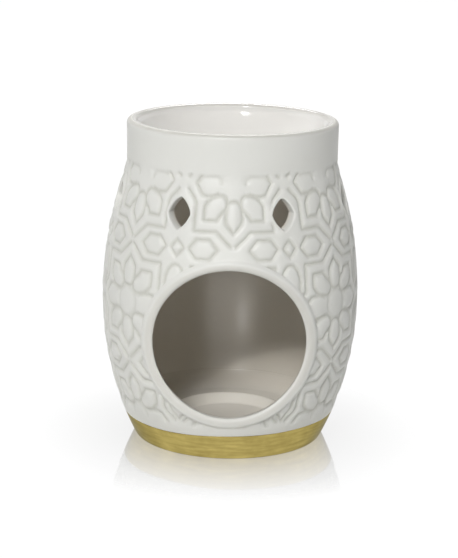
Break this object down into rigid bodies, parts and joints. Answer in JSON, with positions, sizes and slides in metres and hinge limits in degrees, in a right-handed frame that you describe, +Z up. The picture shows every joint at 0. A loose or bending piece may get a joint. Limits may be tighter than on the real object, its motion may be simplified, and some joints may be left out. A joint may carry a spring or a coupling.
{
  "type": "oil burner",
  "caption": "Bellied ceramic oil burner with a round front window, pierced lozenge vents, an oil dish in the neck and a tealight recess over a gilded foot.",
  "frame": {"origin": "centre of the face that the foot stands on", "axes": "+Z up through the centre of the dish, -Y out through the middle of the round window, +X to the right of someone who faces the window"},
  "size_m": [0.105, 0.1042, 0.1313],
  "materials": {
    "pot_glaze": "white gloss glaze",
    "dish_glaze": "white gloss glaze",
    "gold_lustre": "satin gold lustre over glaze",
    "floor_glaze": "white gloss glaze"
  },
  "bodies": {
    "root": {"pot_body": "pot_glaze", "oil_dish": "dish_glaze", "foot_ring": "gold_lustre", "tealight_floor": "floor_glaze"}
  },
  "joints": []
}
